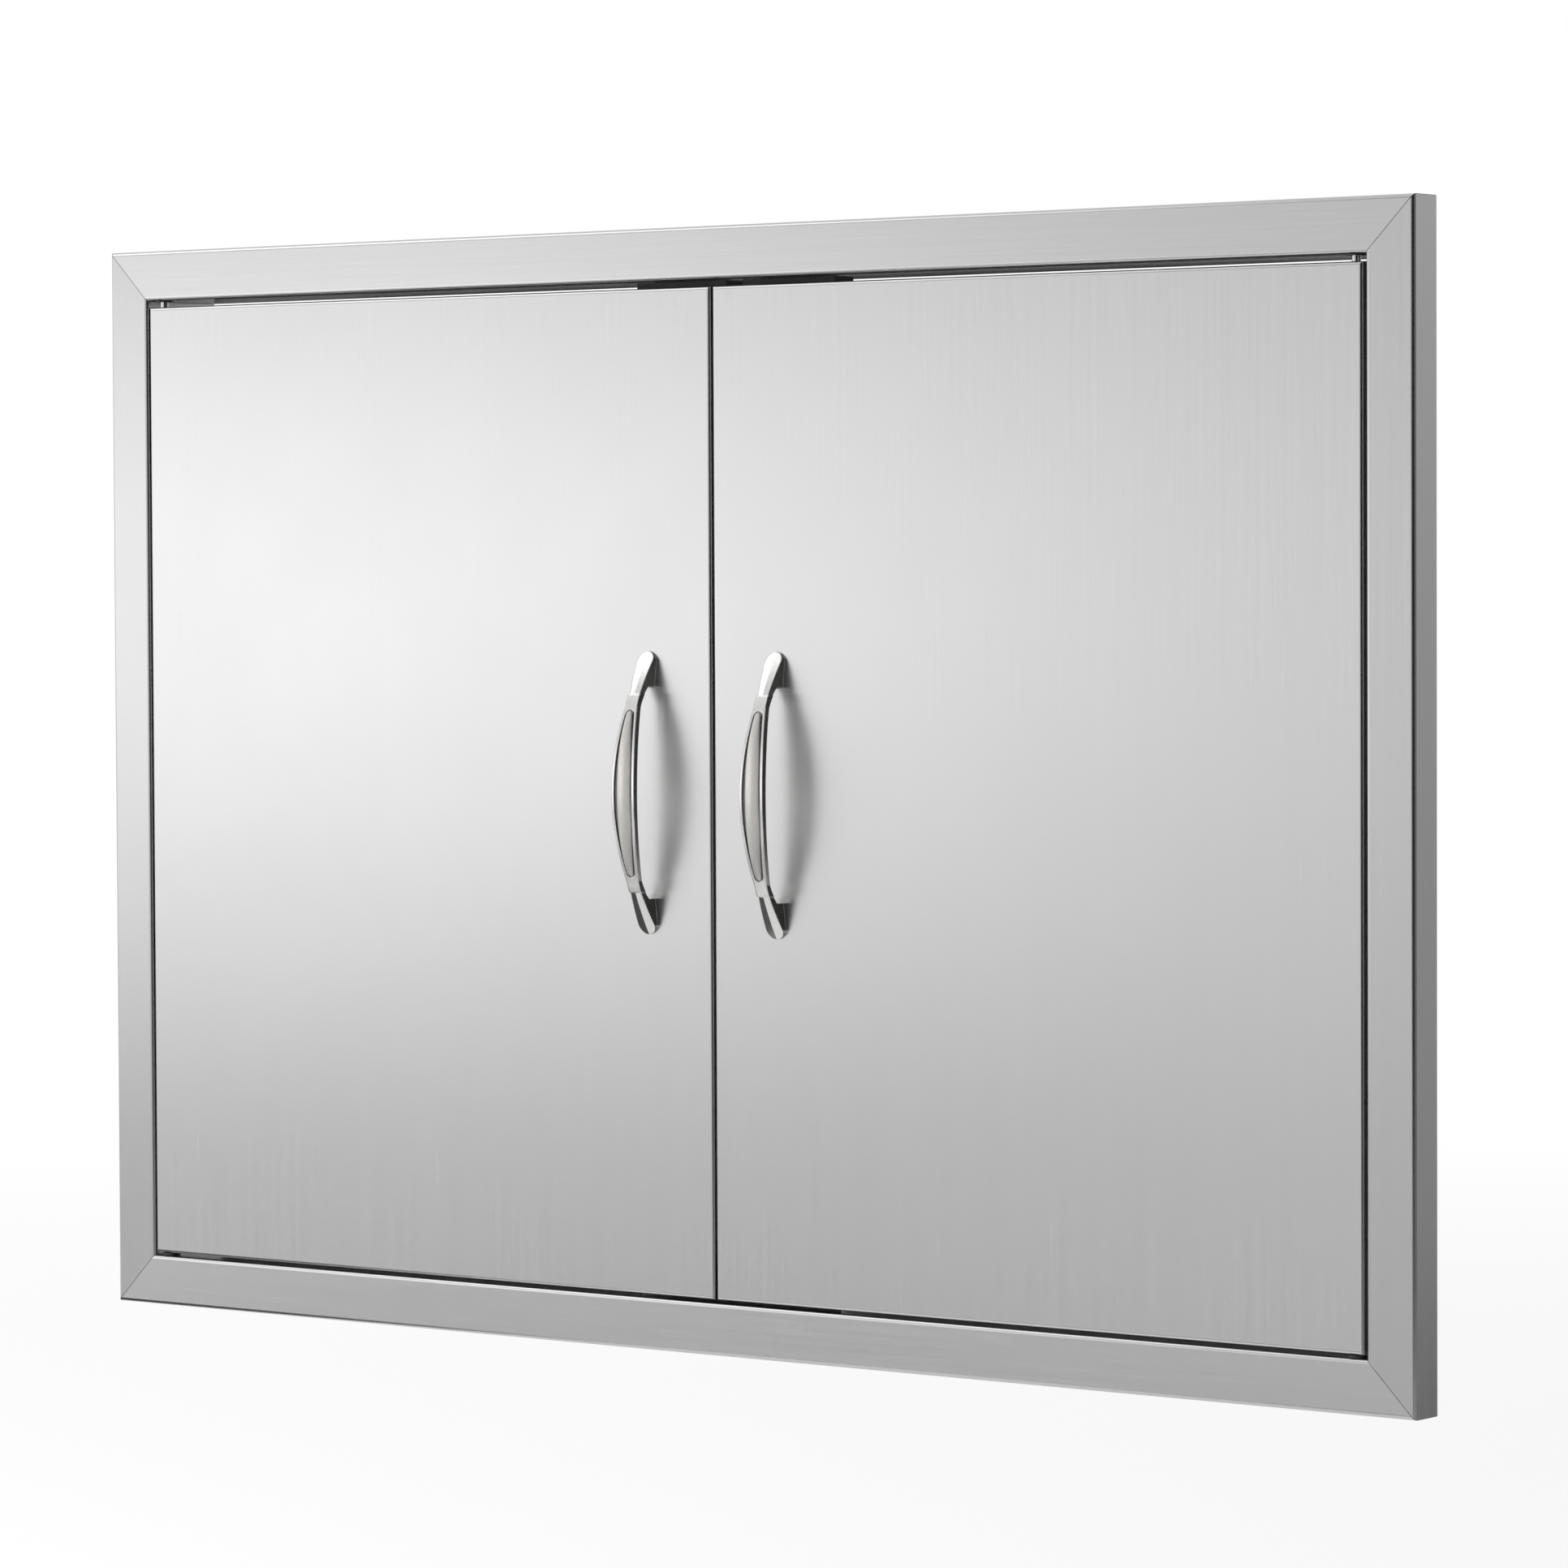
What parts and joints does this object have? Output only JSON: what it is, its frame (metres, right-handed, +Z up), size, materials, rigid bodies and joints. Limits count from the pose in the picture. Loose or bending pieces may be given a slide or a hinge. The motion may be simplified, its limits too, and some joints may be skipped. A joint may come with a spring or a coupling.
{
  "type": "bbq island access door",
  "caption": "Access door for an outdoor kitchen island: a flanged stainless frame with paired hinged doors, bow pulls, sprung hinge pins and magnetic catches.",
  "frame": {"origin": "centre of the opening, on the plane where the trim's folded back flange rests on the wall", "axes": "+X to the right seen from the front, +Y into the wall, +Z up"},
  "size_m": [0.775, 0.0708, 0.533],
  "materials": {
    "brushed_stainless": "brushed along its length",
    "mill_stainless": "mill finish",
    "zinc_plate": "zinc plated",
    "zinc_screws": "zinc plated",
    "alloy_rivets": "plain",
    "satin_pull": "satin",
    "pin_steel": "ground",
    "spring_steel": "drawn wire",
    "nylon": "moulded",
    "catch_plastic": "moulded",
    "ferrite": "sintered",
    "bumper_rubber": "moulded"
  },
  "bodies": {
    "frame": {"frame_top_rail": "brushed_stainless", "frame_bottom_rail": "brushed_stainless", "frame_left_stile": "brushed_stainless", "frame_right_stile": "brushed_stainless", "gusset_top_left": "mill_stainless", "gusset_bottom_left": "mill_stainless", "gusset_top_right": "mill_stainless", "gusset_bottom_right": "mill_stainless", "left_upper_bush": "nylon", "left_lower_bush": "nylon", "left_thrust_washer": "nylon", "left_catch_body": "catch_plastic", "left_catch_magnet": "ferrite", "left_catch_pole_plates": "zinc_plate", "right_upper_bush": "nylon", "right_lower_bush": "nylon", "right_thrust_washer": "nylon", "right_catch_body": "catch_plastic", "right_catch_magnet": "ferrite", "right_catch_pole_plates": "zinc_plate", "catch_screws": "zinc_screws", "stop_bracket": "mill_stainless", "stop_bumpers": "bumper_rubber", "stop_bracket_rivets": "alloy_rivets"},
    "left_door": {"left_door_skin": "brushed_stainless", "left_door_stiffener": "mill_stainless", "left_strike_plate": "zinc_plate", "left_strike_rivets": "alloy_rivets", "left_pull_backing_plate": "mill_stainless", "left_pull_washers": "zinc_screws", "left_pull_screws": "zinc_screws", "left_pull": "satin_pull", "left_pull_insert": "satin_pull", "left_lower_pivot_bracket": "mill_stainless", "left_upper_pivot_bracket": "mill_stainless", "left_lower_pivot_pin": "pin_steel"},
    "right_door": {"right_door_skin": "brushed_stainless", "right_door_stiffener": "mill_stainless", "right_strike_plate": "zinc_plate", "right_strike_rivets": "alloy_rivets", "right_pull_backing_plate": "mill_stainless", "right_pull_washers": "zinc_screws", "right_pull_screws": "zinc_screws", "right_pull": "satin_pull", "right_pull_insert": "satin_pull", "right_lower_pivot_bracket": "mill_stainless", "right_upper_pivot_bracket": "mill_stainless", "right_lower_pivot_pin": "pin_steel"},
    "left_hinge_pin": {"left_spring_pin": "pin_steel", "left_pin_clip": "pin_steel", "left_pin_spring": "spring_steel"},
    "right_hinge_pin": {"right_spring_pin": "pin_steel", "right_pin_clip": "pin_steel", "right_pin_spring": "spring_steel"}
  },
  "joints": [
    {"name": "left_door_swing", "type": "hinge", "parent": "frame", "child": "left_door", "pos_m": [-0.355, -0.015, 0], "axis": [0, 0, -1], "range_deg": [0, 110]},
    {"name": "right_door_swing", "type": "hinge", "parent": "frame", "child": "right_door", "pos_m": [0.355, -0.015, 0], "axis": [0, 0, 1], "range_deg": [0, 110]},
    {"name": "left_pin_pull", "type": "slide", "parent": "left_door", "child": "left_hinge_pin", "axis": [0, 0, -1], "range_m": [0, 0.007], "stiffness_N_per_m": 2080, "springref_m": -0.0054, "deforming": ["left_pin_spring"]},
    {"name": "right_pin_pull", "type": "slide", "parent": "right_door", "child": "right_hinge_pin", "axis": [0, 0, -1], "range_m": [0, 0.007], "stiffness_N_per_m": 2080, "springref_m": -0.0054, "deforming": ["right_pin_spring"]}
  ]
}
